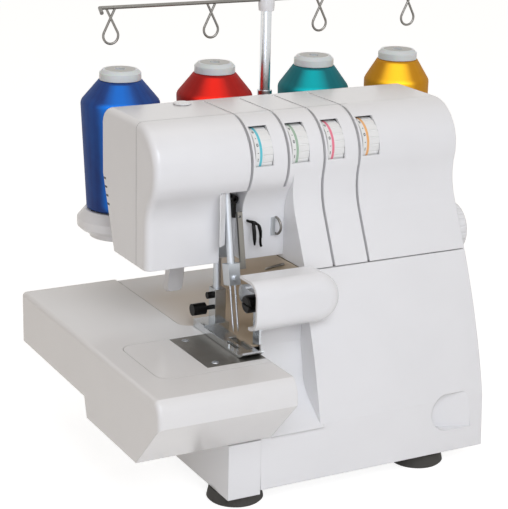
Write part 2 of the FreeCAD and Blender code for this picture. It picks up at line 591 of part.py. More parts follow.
def ramp(extra):
    x, z, w, h = PULL
    points = [V(x - 40, -160, 0), V(x - 40, -132.0 + extra, 0), V(x - w, -132.0 + extra, 0),
              V(x + w, -146.0 + extra, 0), V(x + 40, -146.0 + extra, 0), V(x + 40, -160, 0)]
    return Part.Face(Part.makePolygon(points + points[:1])).extrude(V(0, 0, 100))


cup = dish(COVER_T).common(ramp(COVER_T)).common(skin(X_PANEL + 90, X_RIGHT, 40.0))
cover = cover.fuse(cup).cut(dish(0).common(ramp(0)))
for x in X_LUGS:
    x0 = x + KNUCKLE_W + SEAM
    eye = rod(KNUCKLE_R, (x0, HINGE_Y, HINGE_Z), (x0 + KNUCKLE_W, HINGE_Y, HINGE_Z))
    web = box(x0, x0 + KNUCKLE_W, Y_FRONT + 2, HINGE_Y, HINGE_Z - KNUCKLE_R, HINGE_Z + KNUCKLE_R)
    cover = cover.fuse(fuse(eye, web))
cover = cover.cut(rod(HINGE_R + RUN, (X_LUGS[0] - 1, HINGE_Y, HINGE_Z), (X_RIGHT, HINGE_Y, HINGE_Z)))
NODES["front_cover"] = cover.removeSplitter()
NODES["cover_rod"] = rod(HINGE_R, (X_LUGS[0] - 4, HINGE_Y, HINGE_Z), (155.0, HINGE_Y, HINGE_Z))

# Tension dials
for i, x in enumerate(SLOTS):
    x0 = x + SLOT_W / 2 + RIB + FREE
    dial = rod(DIAL_R, (x0, *DIAL_C), (x0 + DIAL_W, *DIAL_C))
    for k in range(DIAL_GRIPS):
        at = polar(DIAL_C, DIAL_R + 0.3, k * 360 / DIAL_GRIPS)
        dial = dial.cut(rod(GRIP_R, (x0 + 7, *at), (x0 + DIAL_W + 1, *at)))
    dial = dial.cut(rod(AXLE_R + RUN, (x0 - 1, *DIAL_C), (x0 + DIAL_W + 1, *DIAL_C)))
    NODES["tension_dial_%d" % (i + 1)] = dial

# Needle bar group, moving along the inclined axis
NODES["needle_bar"] = rod(BAR_R, on_needle(52), on_needle(168))
tilt = FreeCAD.Rotation(V(1, 0, 0), -A_NEEDLE)


def tilted(shape):
    """Turn a shape drawn about the upright needle line onto the inclined axis."""
    shape.Placement = FreeCAD.Placement(V(NEEDLE_X, NEEDLE_Y, Z_BED), tilt).multiply(shape.Placement)
    return shape


CLAMP_Z0 = 48.0
CLAMP_Z1 = 66.0
clamp = tilted(box(-5.5, 5.0, -6.0, 5.5, CLAMP_Z0, CLAMP_Z1))
set_screw = tilted(rod(2.2, (0, -9, CLAMP_Z0 + 6), (0, -5.5, CLAMP_Z0 + 6)))
clamp = fuse(clamp, set_screw).cut(rod(BAR_R, on_needle(52), on_needle(168)))
needles = []
for s in (-1, 1):
    x = s * NEEDLE_STEP
    body = tilted(rod(NEEDLE_R, (x, 0, 14), (x, 0, CLAMP_Z0)))
    point = tilted(Part.makeCone(0.15, NEEDLE_R, 6, V(x, 0, 8)))
    needles.append(body.fuse(point))
NODES["needle_clamp"] = clamp
NODES["needles"] = Part.makeCompound(needles)
strip = fuse(
    tilted(box(8.5, 13.0, -1.5, 1.5, CLAMP_Z1 - 6, 108.0)),
    tilted(box(5.0, 13.0, -1.5, 1.5, CLAMP_Z1 - 6, CLAMP_Z1)),
    tilted(box(11.0, 13.0, -1.5, 5.0, CLAMP_Z1 - 6, 102.0)),
)
strip = strip.cut(tilted(rod(1.2, (10.5, -5, 104), (10.5, 5, 104))))
NODES["take_up_strip"] = strip.removeSplitter()

# Pocket plate, thread eyes and wire guides on the head
NODES["pocket_plate"] = box(-49.5, -38.5, POCKET_Y - 1.2, POCKET_Y, Z_HEAD + 1, 236.0)
eyes = []
for x, z in ((-46.0, 246.0), (-38.5, 240.0)):
    eye = rod(3.6, (x, POCKET_Y - 6, z), (x, POCKET_Y, z))
    prong = box(x - 1.2, x + 1.2, POCKET_Y - 6, POCKET_Y - 1.3, z - 16, z - 2)
    eyes.append(fuse(eye, prong).cut(rod(1.6, (x, POCKET_Y - 7, z), (x, POCKET_Y - 3, z))))
NODES["thread_eyes"] = Part.makeCompound(eyes)
Y_HEAD = polar(polar(C_ROLL, R_ROLL + R_HOLLOW_HEAD, 180 + A_TURN_HEAD), R_HOLLOW_HEAD, 0)[0]
WIRE_R = 1.1
NODES["wire_hook"] = pipe(((-29, Y_HEAD + 1, 222), (-28, Y_HEAD - 5, 222), (-22, Y_HEAD - 7, 219),
                           (-20, Y_HEAD - 7, 210), (-18.5, Y_HEAD - 6, 200)), WIRE_R)
clip = pipe(((-2, Y_HEAD + 0.5, 222), (-1.5, Y_HEAD - 6, 220), (-1, Y_HEAD - 8, 215), (-1.5, Y_HEAD - 6, 210),
             (-2, Y_HEAD + 0.5, 208)), WIRE_R)
throat = pipe(((X_COLUMN + 0.5, -40, 168), (X_COLUMN - 4, -44, 169), (X_COLUMN - 4, -64, 178),
               (X_COLUMN + 0.5, -68, 180)), WIRE_R)
NODES["thread_clips"] = Part.makeCompound([clip.cut(NODES["upper_cover"]), throat.cut(NODES["rear_housing"])])
NODES["wire_hook"] = NODES["wire_hook"].cut(NODES["upper_cover"])
NODES["lamp_lens"] = box(LAMP[0] + FREE, LAMP[1] - FREE, LAMP[2] + FREE, LAMP[3] - FREE, Z_HEAD - 1.5, Z_HEAD + WALL)

# Presser bar, foot, screw and lifter
NODES["presser_bar"] = rod(PRESS_R, (PRESS_X, PRESS_Y, 156.0), (PRESS_X, PRESS_Y, 246.0))
z0 = Z_BED + FOOT_GAP
FOOT_SIDE = outline(
    FOOT_X0, (PRESS_Y + 4, z0), ((FOOT_Y0, z0),), ((FOOT_Y0 - 5, z0 + 1.0), (FOOT_Y0 - 9, z0 + 4.0)),
    ((FOOT_Y0 - 9.5, z0 + 6.0),), ((FOOT_Y0 - 5, z0 + 3.2), (FOOT_Y0, z0 + FOOT_T)), ((PRESS_Y + 4, z0 + FOOT_T),))
sole = sweep_x(FOOT_SIDE, FOOT_X1 - FOOT_X0)
sole = sole.cut(box(NEEDLE_X - 5, NEEDLE_X + 1, FOOT_Y0 + 6, NEEDLE_Y + 6, Z_BED, Z_BED + 20))
sole = sole.cut(box(NEEDLE_X - 5, FOOT_X1 + 1, NEEDLE_Y - 7, NEEDLE_Y + 6, Z_BED, Z_BED + 20))
sole = sole.cut(box(FOOT_X0 + 5, NEEDLE_X - 8, -112.0, NEEDLE_Y - 2, Z_BED, Z_BED + 20))
rail = box(FOOT_X0, FOOT_X0 + 1.6, -108.0, PRESS_Y + 4, z0, z0 + 5.5)
bridge = box(FOOT_X0, PRESS_X + 4, PRESS_Y - 16, PRESS_Y + 4, z0, z0 + 7)
shank = box(PRESS_X - 5, PRESS_X + 5, PRESS_Y - 7, PRESS_Y + 5, z0 + 5, 160.0)
foot = fuse(sole, rail, bridge, shank)
foot = foot.cut(rod(PRESS_R + RUN, (PRESS_X, PRESS_Y, 156.0), (PRESS_X, PRESS_Y, 170.0)))
NODES["presser_foot"] = foot
Z_THUMB = 143.0
thumb = fuse(
    rod(2.0, (PRESS_X - 5, PRESS_Y - 1, Z_THUMB), (PRESS_X - 14, PRESS_Y - 1, Z_THUMB)),
    rod(5.2, (PRESS_X - 12, PRESS_Y - 1, Z_THUMB), (PRESS_X - 24, PRESS_Y - 1, Z_THUMB)),
    rod(3.0, (PRESS_X - 5, PRESS_Y - 1, Z_THUMB + 11), (PRESS_X - 10, PRESS_Y - 1, Z_THUMB + 11)),
)
NODES["foot_screw"] = thumb
hub = rod(7.0, (LIFT_X, LIFT_Y, LIFT_Z), (LIFT_X + 14, LIFT_Y, LIFT_Z))
lever = prism(((LIFT_Y - 4, LIFT_Z), (LIFT_Y - 4, 176.0), (LIFT_Y + 1, 149.0), (LIFT_Y + 7, 147.0),
               (LIFT_Y + 9, 152.0), (LIFT_Y + 4, 176.0), (LIFT_Y + 4, LIFT_Z)), LIFT_X, LIFT_X + 14)
lever = fuse(hub, lever)
lever = lever.makeFillet(4.0, [e for e in lever.Edges if e.BoundBox.ZMax < 150.5 and e.BoundBox.XLength < 0.1])
NODES["presser_lifter"] = lever.cut(rod(AXLE_R + RUN, (LIFT_X - 1, LIFT_Y, LIFT_Z), (LIFT_X + 20, LIFT_Y, LIFT_Z)))

# Upper knife on its rocking shaft
knife_shaft = rod(KNIFE_R, (BLADE_X, KNIFE_Y, KNIFE_Z), (34.0, KNIFE_Y, KNIFE_Z))
knife_hub = rod(8.0, (BLADE_X, KNIFE_Y, KNIFE_Z), (BLADE_X + 7, KNIFE_Y, KNIFE_Z))
knife_arm = box(BLADE_X, BLADE_X + 5.5, -119.0, KNIFE_Y, KNIFE_Z - 6, KNIFE_Z + 6)
blade = prism(((-118.0, KNIFE_Z), (-118.0, 131.0), (-107.0, 127.5), (-107.0, KNIFE_Z)), BLADE_X, BLADE_X + BLADE_T)
holder = prism(((-117.0, KNIFE_Z), (-117.0, 142.0), (-109.0, 142.0), (-109.0, KNIFE_Z)), BLADE_X, BLADE_X + 4)
NODES["upper_knife"] = fuse(knife_shaft, knife_hub, knife_arm, blade, holder)
knob = rod(KNOB_R, (BLADE_X, -113.0, KNIFE_Z), (BLADE_X - 11, -113.0, KNIFE_Z))
knob = knob.makeFillet(1.5, [e for e in knob.Edges if e.BoundBox.XMax < BLADE_X - 10])
knob = knob.cut(box(BLADE_X - 12, BLADE_X - 9, -125.0, -100.0, KNIFE_Z - 0.8, KNIFE_Z + 0.8))
NODES["knife_knob"] = knob

# Drive: wheel, shaft, belt and motor
wheel_x = X_RIGHT + 1.5
wheel = rod(WHEEL_R, (wheel_x, WHEEL_Y, WHEEL_Z), (wheel_x + WHEEL_W, WHEEL_Y, WHEEL_Z))
wheel = wheel.makeFillet(WHEEL_ROUND, [e for e in wheel.Edges if e.BoundBox.XMin > wheel_x + WHEEL_W - 0.1])
hollow = rod(WHEEL_R - 9, (wheel_x + WHEEL_W - 4, WHEEL_Y, WHEEL_Z), (wheel_x + WHEEL_W + 1, WHEEL_Y, WHEEL_Z))
wheel = wheel.cut(hollow).fuse(rod(SHAFT_R + 4, (wheel_x, WHEEL_Y, WHEEL_Z), (wheel_x + WHEEL_W - 1, WHEEL_Y, WHEEL_Z)))
for k in range(WHEEL_GRIPS):
    at = polar((WHEEL_Y, WHEEL_Z), WHEEL_R + 0.9, k * 360 / WHEEL_GRIPS)
    wheel = wheel.cut(rod(1.6, (wheel_x - 1, *at), (wheel_x + WHEEL_W + 1, *at)))
NODES["handwheel"] = wheel.cut(rod(SHAFT_R, (wheel_x - 1, WHEEL_Y, WHEEL_Z), (wheel_x + 10, WHEEL_Y, WHEEL_Z)))
shaft = rod(SHAFT_R, (110.0, WHEEL_Y, WHEEL_Z), (wheel_x + 10, WHEEL_Y, WHEEL_Z))
pulley = rod(PULLEY_R, (X_PULLEY, WHEEL_Y, WHEEL_Z), (X_PULLEY + PULLEY_W, WHEEL_Y, WHEEL_Z))
NODES["main_shaft"] = shaft.fuse(pulley).removeSplitter()
motor = rod(MOTOR_R, (62.0, MOTOR_Y, MOTOR_Z), (X_PULLEY - 6, MOTOR_Y, MOTOR_Z))
cradle = box(70.0, 120.0, MOTOR_Y - 22, MOTOR_Y + 22, Z_PAN + PAN_T, MOTOR_Z)
motor = fuse(motor, cradle)
NODES["motor"] = motor.cut(rod(AXLE_R + RUN, (110.0, MOTOR_Y, MOTOR_Z), (X_PULLEY, MOTOR_Y, MOTOR_Z)))
NODES["motor_pulley"] = fuse(
    rod(AXLE_R, (112.0, MOTOR_Y, MOTOR_Z), (X_PULLEY + PULLEY_W, MOTOR_Y, MOTOR_Z)),
    rod(MOTOR_PULLEY_R, (X_PULLEY, MOTOR_Y, MOTOR_Z), (X_PULLEY + PULLEY_W, MOTOR_Y, MOTOR_Z)),
)


def belt_solid(grow):
    """Hull of the two pulleys, each grown by the same amount."""
    big = (WHEEL_Y, WHEEL_Z)
    small = (MOTOR_Y, MOTOR_Z)
    gap = math.hypot(small[0] - big[0], small[1] - big[1])
    way = math.degrees(math.atan2(small[1] - big[1], small[0] - big[0]))
    lean = math.degrees(math.acos((PULLEY_R - MOTOR_PULLEY_R) / gap))
    r1 = PULLEY_R + grow
    r2 = MOTOR_PULLEY_R + grow
    face = outline(X_PULLEY + 1, polar(big, r1, way + lean), (polar(big, r1, way + 180), polar(big, r1, way - lean)),
                   (polar(small, r2, way - lean),), (polar(small, r2, way), polar(small, r2, way + lean)))
    return sweep_x(face, PULLEY_W - 2)


NODES["drive_belt"] = belt_solid(FREE + BELT_T).cut(belt_solid(FREE))

# Side controls
for name, y, z, r in KNOBS:
    knob = rod(r, (X_RIGHT + 1, y, z), (X_RIGHT + 11, y, z))
    knob = knob.makeFillet(1.5, [e for e in knob.Edges if e.BoundBox.XMin > X_RIGHT + 10])
    for k in range(18):
        at = polar((y, z), r + 0.4, k * 20)
        knob = knob.cut(rod(1.0, (X_RIGHT, *at), (X_RIGHT + 12, *at)))
    NODES[name] = knob.fuse(rod(AXLE_R, (X_RIGHT - 8, y, z), (X_RIGHT + 2, y, z)))
y0, y1, z0, z1 = INLET
inlet = box(X_RIGHT - 14, X_RIGHT + 1, y0, y1, z0, z1)
inlet = inlet.cut(box(X_RIGHT - 10, X_RIGHT + 2, y0 + 2, y1 - 2, z0 + 2, z1 - 2))
for y in (y0 + 5, y1 - 5):
    inlet = inlet.fuse(rod(1.2, (X_RIGHT - 11, y, (z0 + z1) / 2), (X_RIGHT - 2, y, (z0 + z1) / 2)))
NODES["power_inlet"] = inlet
y0, y1, z0, z1 = ROCKER
rocker = rod((z1 - z0) / 2 - 1, (X_RIGHT - 5, y0, (z0 + z1) / 2), (X_RIGHT - 5, y1, (z0 + z1) / 2))
rocker = rocker.common(box(X_RIGHT - 6, X_RIGHT + 3, y0, y1, z0, z1))
NODES["power_switch"] = rocker
stem = rod(AXLE_R, (*SCREW_TOP, Z_TOP - 8), (*SCREW_TOP, Z_TOP + 1))
cap = lathe(((0, Z_TOP + 0.4), (8.0, Z_TOP + 0.4), (7.2, Z_TOP + 1.6), (0, Z_TOP + 1.6)), *SCREW_TOP)
NODES["pressure_screw"] = stem.fuse(cap)

# Spool stand, holders, cones and thread guide
Z_TRAY = Z_HOLDER - 8.0
tray = box(STAND_X + CONE_X[0], STAND_X + CONE_X[3], STAND_Y - 11, STAND_Y + 11, Z_TRAY, Z_HOLDER - 1)
for dx in CONE_X:
    tray = tray.fuse(rod(28.0, (STAND_X + dx, STAND_Y, Z_TRAY), (STAND_X + dx, STAND_Y, Z_HOLDER - 1)))
tray = tray.fuse(box(STAND_X - 26, STAND_X + 26, Y_COLUMN_BACK, STAND_Y + 5, 150.0, Z_TRAY + 1))
tray = tray.fuse(rod(STAND_HUB_R, (STAND_X, STAND_Y, Z_TRAY), (STAND_X, STAND_Y, Z_HOLDER + 10)))
tray = tray.cut(rod(ROD_R + 2, (STAND_X, STAND_Y, Z_TRAY + 3), (STAND_X, STAND_Y, Z_TOP)))
NODES["spool_stand"] = tray.removeSplitter()
holders = []
Z_H = Z_HOLDER - 1
for dx in CONE_X:
    profile = ((0, Z_H), (HOLDER_R - 3, Z_H), (HOLDER_R, Z_H + 3), (HOLDER_R, Z_H + 10), (HOLDER_R - 7, Z_CONE - 2),
               (HOLDER_R - 10, Z_CONE - 2), (HOLDER_R - 10, Z_H + 6), (PIN_R, Z_H + 6), (PIN_R, Z_SHOULDER),
               (PIN_R - 1.5, Z_SHOULDER + 6), (0, Z_SHOULDER + 6))
    holders.append(lathe(profile, STAND_X + dx, STAND_Y))
NODES["cone_holders"] = Part.makeCompound(holders)
Z_CORE = Z_H + 7
Z_RIM = Z_CAP - CAP_H
CORE_R0 = 24.0
CORE_R1 = 13.0
CORE_T = 2.0
THREAD_R0 = 29.5
for i, dx in enumerate(CONE_X):
    x = STAND_X + dx
    slope = (CORE_R1 - CORE_R0) / (Z_RIM - Z_CORE)
    r_low = CORE_R0 + slope * (Z_CONE + 6 - Z_CORE)
    r_high = CORE_R0 + slope * (Z_RIM - FREE - Z_CORE)
    core = ((PIN_R + 0.6, Z_CORE), (CORE_R0, Z_CORE), (CORE_R1, Z_RIM), (CAP_R, Z_RIM), (CAP_R, Z_CAP - 3),
            (CAP_R - 3, Z_CAP), (PIN_R + 0.6, Z_CAP), (PIN_R + 0.6, Z_RIM + 3), (CORE_R1 - CORE_T, Z_RIM),
            (CORE_R0 - CORE_T, Z_CORE + 4), (PIN_R + 0.6, Z_CORE + 4))
    NODES["cone_core_%d" % (i + 1)] = lathe(core, x, STAND_Y)
    thread = ((r_low, Z_CONE + 6), (THREAD_R0 - 2, Z_CONE + 6), (THREAD_R0, Z_CONE + 9), (CONE_R[i], Z_SHOULDER - 4),
              (CONE_R[i] - 1.5, Z_SHOULDER + 1), (CAP_R + 1, Z_RIM - FREE), (r_high, Z_RIM - FREE))
    NODES["thread_cone_%d" % (i + 1)] = lathe(thread, x, STAND_Y)
tube = rod(ROD_R + 2, (STAND_X, STAND_Y, Z_TRAY + 3), (STAND_X, STAND_Y, Z_TOP - 8))
NODES["rod_outer"] = tube.cut(rod(ROD_R + RUN, (STAND_X, STAND_Y, Z_TRAY), (STAND_X, STAND_Y, Z_TOP)))
NODES["rod_inner"] = rod(ROD_R, (STAND_X, STAND_Y, Z_TRAY + 4), (STAND_X, STAND_Y, Z_HUB + 2))
GUIDE_R = 1.7
hub = lathe(((0, Z_HUB), (7.0, Z_HUB), (7.5, Z_HUB + 4), (7.5, Z_HUB + 14), (5.0, Z_HUB + 18), (0, Z_HUB + 18)),
            STAND_X, STAND_Y)
hub = hub.cut(rod(ROD_R, (STAND_X, STAND_Y, Z_HUB - 1), (STAND_X, STAND_Y, Z_HUB + 2)))
bar = rod(GUIDE_R, (STAND_X - GUIDE_HALF, STAND_Y, Z_GUIDE), (STAND_X + GUIDE_HALF, STAND_Y, Z_GUIDE))
hub = hub.cut(bar)
NODES["guide_hub"] = hub
pieces = [bar]
LOOP_R = 7.0
LOOP_DROP = 24.5
LOOP_SPLAY = 4.5
reach = math.hypot(LOOP_SPLAY, LOOP_DROP)
touch = math.atan2(LOOP_SPLAY, LOOP_DROP) + math.asin(LOOP_R / reach)
for dx in LOOP_X:
    c = V(STAND_X + dx, STAND_Y, Z_GUIDE - LOOP_DROP)
    side = V(LOOP_R * math.cos(touch), 0, LOOP_R * math.sin(touch))
    ring = Part.makeTorus(LOOP_R, WIRE_R, c, V(0, 1, 0))
    above = box(c.x - 20, c.x + 20, STAND_Y - 9, STAND_Y + 9, c.z + side.z, c.z + 20)
    pieces.append(ring.cut(above))
    for s in (-1, 1):
        low = c + V(s * side.x, 0, side.z)
        pieces.append(Part.makeSphere(WIRE_R + 0.1, low))
        pieces.append(rod(WIRE_R, low, c + V(-s * LOOP_SPLAY, 0, LOOP_DROP)))
for s in (-1, 1):
    end = V(STAND_X + s * GUIDE_HALF, STAND_Y, Z_GUIDE)
    pieces.append(Part.makeSphere(GUIDE_R, end))
    pieces.append(rod(GUIDE_R, end, end + V(s * 2, -9, -3)))
NODES["thread_guide"] = fuse(*pieces)

X_MID = (X_TABLE + STAND_X + CONE_X[3] + HOLDER_R) / 2
Y_MID = (Y_NOSE + STAND_Y + HOLDER_R) / 2
for name, shape in NODES.items():
    shape = shape.copy()
    shape.translate(V(-X_MID, -Y_MID, 0))
    shape.exportStep("parts/%s.step" % name)
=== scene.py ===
import json
import math

import bpy
from mathutils import Matrix, Vector

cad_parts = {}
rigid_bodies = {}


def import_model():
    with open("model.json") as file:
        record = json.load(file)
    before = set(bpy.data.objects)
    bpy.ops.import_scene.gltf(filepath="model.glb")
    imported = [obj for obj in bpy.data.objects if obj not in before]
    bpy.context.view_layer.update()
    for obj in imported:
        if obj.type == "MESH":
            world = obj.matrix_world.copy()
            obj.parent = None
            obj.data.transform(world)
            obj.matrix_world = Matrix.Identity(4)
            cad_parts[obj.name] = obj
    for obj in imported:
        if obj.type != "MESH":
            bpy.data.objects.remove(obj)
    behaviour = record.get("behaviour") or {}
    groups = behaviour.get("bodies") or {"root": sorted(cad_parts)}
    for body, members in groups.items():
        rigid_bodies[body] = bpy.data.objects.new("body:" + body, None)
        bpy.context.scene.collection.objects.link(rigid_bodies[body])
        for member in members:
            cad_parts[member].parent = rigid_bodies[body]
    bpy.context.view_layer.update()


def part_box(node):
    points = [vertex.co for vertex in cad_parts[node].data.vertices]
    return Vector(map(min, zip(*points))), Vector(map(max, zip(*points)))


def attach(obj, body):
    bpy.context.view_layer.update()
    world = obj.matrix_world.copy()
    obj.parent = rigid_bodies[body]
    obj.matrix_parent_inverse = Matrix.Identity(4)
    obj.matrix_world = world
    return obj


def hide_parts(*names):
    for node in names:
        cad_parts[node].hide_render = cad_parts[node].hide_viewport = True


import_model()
objects = bpy.data.objects
MM = 0.001


def linear(code):
    """sRGB hex to the linear colour that shaders take."""
    parts = [int(code[i:i + 2], 16) / 255 for i in (1, 3, 5)]
    return tuple(c / 12.92 if c <= 0.04045 else ((c + 0.055) / 1.055) ** 2.4 for c in parts) + (1.0,)


def add(tree, kind, sockets=(), **settings):
    """Add a node, set its properties or named sockets, then give each socket its value or the output that feeds it."""
    made = tree.nodes.new(kind)
    for key, value in settings.items():
        if hasattr(made, key):
            setattr(made, key, value)
        else:
            made.inputs[key.replace("_", " ")].default_value = value
    for socket, source in dict(sockets).items():
        if isinstance(source, bpy.types.NodeSocket):
            tree.links.new(source, made.inputs[socket])
        else:
            made.inputs[socket].default_value = source
    return made


def empty_tree(owner):
    """Cleared node tree of a new material or world."""
    owner.use_nodes = True
    owner.node_tree.nodes.clear()
    return owner.node_tree


def per_metre(millimetres):
    """Noise scale whose cells are this many millimetres across, in object space."""
    return 1000.0 / millimetres


# Small edge radii are carried in the normal, from this many samples
EDGE_SAMPLES = 4
# Moulded skins: breadth of the slow drift, spread of the roughness about its middle, depth of the orange peel
DRIFT_MM = 60.0
MOULD_SPREAD = (0.85, 1.2)
PEEL_DEPTH = 0.1 * MM
# Ground metal: breadth of the smears, spread of the roughness about its middle, depth of the grinding lines
SMEAR_MM = 14.0
METAL_SPREAD = (0.75, 1.3)
SCORE_DEPTH = 0.05 * MM


def moulded(name, low, high, rough, grain_mm, bump, edge_mm, painted_shade=None, **extra):
    """Injection moulded or cast skin: faint tone drift, gloss drift and a fine orange peel, with optional painted shade
    over a region.
    """
    material = bpy.data.materials.new(name)
    tree = empty_tree(material)
    place = add(tree, "ShaderNodeTexCoord").outputs["Object"]
    drift = add(tree, "ShaderNodeTexNoise", {"Vector": place}, Scale=per_metre(DRIFT_MM), Detail=3.0).outputs["Fac"]
    grain = add(tree, "ShaderNodeTexNoise", {"Vector": place}, Scale=per_metre(grain_mm), Detail=2.0).outputs["Fac"]
    tone = add(tree, "ShaderNodeMix", {"Factor": drift, "A": linear(low), "B": linear(high)}, data_type="RGBA")
    # Painted shade: inside the region the tone is mixed towards the shade colour
    if painted_shade:
        colour, limits = painted_shade
        axes = add(tree, "ShaderNodeSeparateXYZ", {"Vector": place})
        inside = 1.0
        for axis, start, end in limits:
            reach = add(tree, "ShaderNodeMapRange", {"Value": axes.outputs[axis]}, interpolation_type="SMOOTHSTEP",
                        From_Min=start * MM, From_Max=end * MM).outputs["Result"]
            inside = add(tree, "ShaderNodeMath", {0: inside, 1: reach}, operation="MULTIPLY").outputs[0]
        tone = add(tree, "ShaderNodeMix", {"Factor": inside, "A": tone.outputs["Result"], "B": linear(colour)},
                   data_type="RGBA")
    gloss = add(tree, "ShaderNodeMapRange", {"Value": drift},
                To_Min=rough * MOULD_SPREAD[0], To_Max=rough * MOULD_SPREAD[1])
    edge = add(tree, "ShaderNodeBevel", samples=EDGE_SAMPLES, Radius=edge_mm * MM)
    peel = add(tree, "ShaderNodeBump", {"Height": grain, "Normal": edge.outputs[0]}, Strength=bump, Distance=PEEL_DEPTH)
    shader = add(tree, "ShaderNodeBsdfPrincipled", {
        "Base Color": tone.outputs["Result"], "Roughness": gloss.outputs["Result"], "Normal": peel.outputs[0]}, **extra)
    add(tree, "ShaderNodeOutputMaterial", {"Surface": shader.outputs[0]})
    return material


def ground_metal(name, low, high, rough, line_mm, bump, stretch, edge_mm=0.25):
    """Metal whose grinding lines run along the axis that stretch makes small."""
    material = bpy.data.materials.new(name)
    tree = empty_tree(material)
    place = add(tree, "ShaderNodeTexCoord").outputs["Object"]
    along = add(tree, "ShaderNodeMapping", {"Vector": place, "Scale": stretch}).outputs[0]
    lines = add(tree, "ShaderNodeTexNoise", {"Vector": along}, Scale=per_metre(line_mm), Detail=4.0).outputs["Fac"]
    smear = add(tree, "ShaderNodeTexNoise", {"Vector": place}, Scale=per_metre(SMEAR_MM), Detail=3.0).outputs["Fac"]
    tone = add(tree, "ShaderNodeMix", {"Factor": lines, "A": linear(low), "B": linear(high)}, data_type="RGBA")
    gloss = add(tree, "ShaderNodeMapRange", {"Value": smear},
                To_Min=rough * METAL_SPREAD[0], To_Max=rough * METAL_SPREAD[1])
    edge = add(tree, "ShaderNodeBevel", samples=EDGE_SAMPLES, Radius=edge_mm * MM)
    score = add(tree, "ShaderNodeBump", {"Height": lines, "Normal": edge.outputs[0]},
                Strength=bump, Distance=SCORE_DEPTH)
    shader = add(tree, "ShaderNodeBsdfPrincipled", {
        "Base Color": tone.outputs["Result"], "Roughness": gloss.outputs["Result"], "Normal": score.outputs[0]},
        Metallic=1.0)
    add(tree, "ShaderNodeOutputMaterial", {"Surface": shader.outputs[0]})
    return material


# White ABS, injection moulded and polished: clean white with a broad soft gloss
WHITE = dict(low="#EAEAEB", high="#F1F1F2", rough=0.24, grain_mm=1.6, bump=0.04, edge_mm=0.9, IOR=1.53)
white_abs = moulded("abs_white_moulded", **WHITE)
# Rear housing, white ABS with painted shade in the throat: a warm sand colour is mixed in where the work area under the
# head lies in shadow.
# The throat is (axis, none from here, full from here) in millimetres
THROAT_SHADE = "#D3C2AA"
THROAT = (("X", -150.0, -75.0), ("X", -28.0, -30.0), ("Y", 125.0, 70.0), ("Z", 188.2, 188.0))
housing_abs = moulded("abs_white_painted_throat_shade", painted_shade=(THROAT_SHADE, THROAT), **WHITE)
# White ABS of the table and free arm, moulded with a fine spark texture: clear gloss with a slight grain
table_abs = moulded("abs_white_spark_textured", "#E7E6E5", "#EEEDEC", rough=0.17, grain_mm=0.9, bump=0.06, edge_mm=0.9,
                    IOR=1.53)
# Grey ABS of the knobs and the parting line, moulded: even satin grey
grey_abs = moulded("abs_grey_moulded", "#8E8F91", "#9A9B9D", rough=0.45, grain_mm=0.8, bump=0.15, edge_mm=0.5, IOR=1.53)
# Black ABS of the switch and inlet, moulded with a spark texture: deep satin black; also laid on the vent slots as
# painted shade
black_abs = moulded("abs_black_spark_textured", "#1A1A1B", "#242425", rough=0.5, grain_mm=0.6, bump=0.25, edge_mm=0.4,
                    IOR=1.53)
# Rubber feet, compression moulded: dull warm charcoal
foot_rubber = moulded("rubber_black_moulded", "#3B3936", "#4A4844", rough=0.78, grain_mm=0.9, bump=0.35, edge_mm=0.8,
                      IOR=1.5)
# Neoprene belt, moulded: dull black
belt_rubber = moulded("neoprene_belt_moulded", "#18181A", "#222224", rough=0.8, grain_mm=0.7, bump=0.3, edge_mm=0.3,
                      IOR=1.5)
# Polypropylene cone cores, moulded and slightly milky: light passes into the edges
core_plastic = moulded("polypropylene_milky_moulded", "#E6E8E8", "#F1F2F1", rough=0.32, grain_mm=1.2, bump=0.05,
                       edge_mm=0.6, IOR=1.49, Transmission_Weight=0.12, Subsurface_Weight=0.15)
# Polypropylene cap insets, moulded: flat pale grey
cap_grey = moulded("polypropylene_grey_moulded", "#BAB9B4", "#C6C5C0", rough=0.45, grain_mm=1.0, bump=0.08, edge_mm=0.2,
                   IOR=1.49)
# Polycarbonate lamp lens, moulded and frosted: milky warm window
lamp_glass = moulded("polycarbonate_lens_frosted", "#EFE9DA", "#F7F2E6", rough=0.5, grain_mm=0.8, bump=0.2, edge_mm=0.4,
                     IOR=1.58, Transmission_Weight=0.35)
# Printed numbers, grey ink on the dials: flat dark grey
number_ink = moulded("ink_grey_printed", "#3A3D40", "#4A4D50", rough=0.5, grain_mm=0.5, bump=0.05, edge_mm=0.05,
                     IOR=1.5)
# Aluminium frame and motor shell, die cast: grainy pale grey metal
cast_frame = moulded("aluminium_die_cast", "#A9ABAD", "#B9BBBC", rough=0.5, grain_mm=1.1, bump=0.3, edge_mm=0.5,
                     Metallic=1.0)
# Needle plate, lower knife and take-up strip, ground steel: grey with fine lines across the plate
plate_steel = ground_metal("steel_plate_ground", "#7E7B75", "#918E88", rough=0.38, line_mm=0.5, bump=0.25,
                           stretch=(1.0, 0.06, 1.0))
# Needles, upper knife, shafts and loopers, ground steel: pale cool grey with fine lines
bar_steel = ground_metal("steel_bar_ground", "#B4B8BD", "#C9CCD0", rough=0.26, line_mm=0.4, bump=0.12,
                         stretch=(0.1, 1.0, 1.0))
# Presser foot and telescopic rod, chrome plated: bright with a soft haze
foot_chrome = ground_metal("steel_chrome_plated", "#CDD1D4", "#DDE0E2", rough=0.22, line_mm=2.0, bump=0.05,
                           stretch=(1.0, 1.0, 1.0))
# Thread guide and clips, drawn spring wire: mid grey with lines along the wire
drawn_wire = ground_metal("steel_wire_drawn", "#77746F", "#918E89", rough=0.28, line_mm=0.5, bump=0.12,
                          stretch=(0.1, 1.0, 1.0), edge_mm=0.1)
# Pocket plate, needle bar, clamp and presser bar, zinc plated: pale cool grey, dull
pale_zinc = ground_metal("steel_sheet_zinc_plated", "#BEC2C6", "#CDD0D3", rough=0.42, line_mm=0.8, bump=0.12,
                         stretch=(1.0, 1.0, 0.1))
